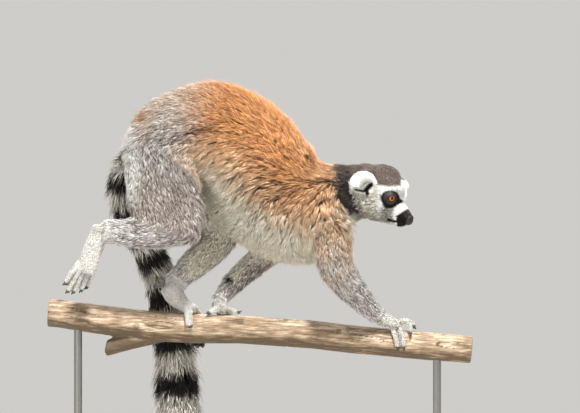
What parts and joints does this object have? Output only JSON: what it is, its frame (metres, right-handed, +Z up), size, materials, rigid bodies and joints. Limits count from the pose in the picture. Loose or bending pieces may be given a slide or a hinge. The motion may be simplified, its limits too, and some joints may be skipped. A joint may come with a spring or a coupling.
{
  "type": "ring-tailed lemur model",
  "caption": "Life-size ring-tailed lemur walking along a short length of branch, carried over a flat base by slim rods.",
  "frame": {"origin": "on the floor under the middle of the stand's base", "axes": "+X the way the lemur faces, along the branch; +Y to its left; +Z up"},
  "size_m": [0.56, 0.3, 0.7037],
  "materials": {
    "bare_wood": "dry barkless wood",
    "rufous_fur": "thick rufous brown fur",
    "white_fur": "short white fur",
    "amber_eye": "polished, like a wet eye",
    "grey_fur": "thick grey-brown agouti fur",
    "head_fur": "short dark grey fur",
    "nape_fur": "near-black fur",
    "black_skin": "bare black skin",
    "stand_wood": "dark satin varnish",
    "stand_steel": "satin",
    "tail_fur": "long fur in black and white rings"
  },
  "bodies": {
    "root": {"branch": "bare_wood", "chest": "rufous_fur", "ear_left": "white_fur", "ear_right": "white_fur", "eye_left": "amber_eye", "eye_right": "amber_eye", "foot_left": "white_fur", "foot_right": "white_fur", "forearm_left": "grey_fur", "forearm_right": "grey_fur", "hand_left": "white_fur", "hand_right": "white_fur", "head": "head_fur", "neck": "nape_fur", "nose": "black_skin", "shank_left": "grey_fur", "shank_right": "grey_fur", "stand_base": "stand_wood", "stand_rod_1": "stand_steel", "stand_rod_2": "stand_steel", "tail_1": "tail_fur", "tail_2": "tail_fur", "tail_3": "tail_fur", "tail_4": "tail_fur", "thigh_left": "grey_fur", "thigh_right": "grey_fur", "trunk": "rufous_fur", "upper_arm_left": "grey_fur", "upper_arm_right": "grey_fur"}
  },
  "joints": []
}
